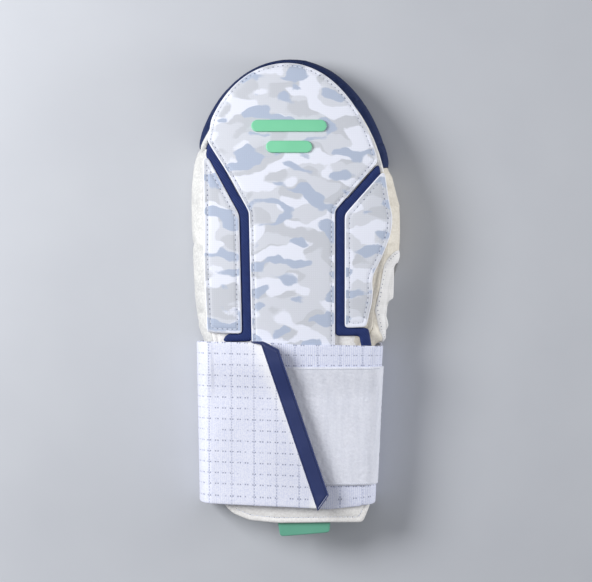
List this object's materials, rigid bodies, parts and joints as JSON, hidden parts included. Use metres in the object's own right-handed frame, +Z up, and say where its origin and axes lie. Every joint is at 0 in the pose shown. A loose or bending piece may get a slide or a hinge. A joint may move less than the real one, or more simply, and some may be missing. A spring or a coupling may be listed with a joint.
{
  "type": "sliding mitt",
  "caption": "Padded sliding mitt for a left hand, palm down: hollow body with guard plates on the back, navy toe cap, thumb hole and a wide elastic wrist strap that closes with a slanted flap.",
  "frame": {"origin": "middle of the mitt in plan, on the surface that its palm lies on", "axes": "+Y towards the fingertips, +X towards the thumb, +Z up out of the back of the hand"},
  "size_m": [0.1301, 0.2943, 0.0496],
  "materials": {
    "white_leather": "padded white synthetic leather with a fine grain",
    "cream_leather": "padded cream synthetic leather with a fine grain",
    "printed_cloth": "pale grey and white camouflage print on woven cloth over foam",
    "navy_cloth": "matt navy twill",
    "white_knit": "white stretch knit",
    "white_elastic": "white woven elastic with a sewn grid",
    "loop_pile": "white loop pile",
    "navy_rubber": "moulded navy rubber, satin",
    "green_rubber": "moulded mint green rubber, satin"
  },
  "bodies": {
    "root": {"palm_panel": "white_leather", "gusset_outer": "white_leather", "gusset_thumb": "cream_leather", "toe_cap": "navy_cloth", "thumb_rim": "white_knit", "back_panel": "white_leather", "guard_centre": "printed_cloth", "guard_outer": "printed_cloth", "guard_thumb": "printed_cloth", "channel_outer": "navy_cloth", "channel_thumb": "navy_cloth", "wrist_strap": "white_elastic", "loop_patch": "loop_pile", "strap_end_bar": "navy_rubber", "pull_tab": "green_rubber", "badge_bar_upper": "green_rubber", "badge_bar_lower": "green_rubber"}
  },
  "joints": []
}
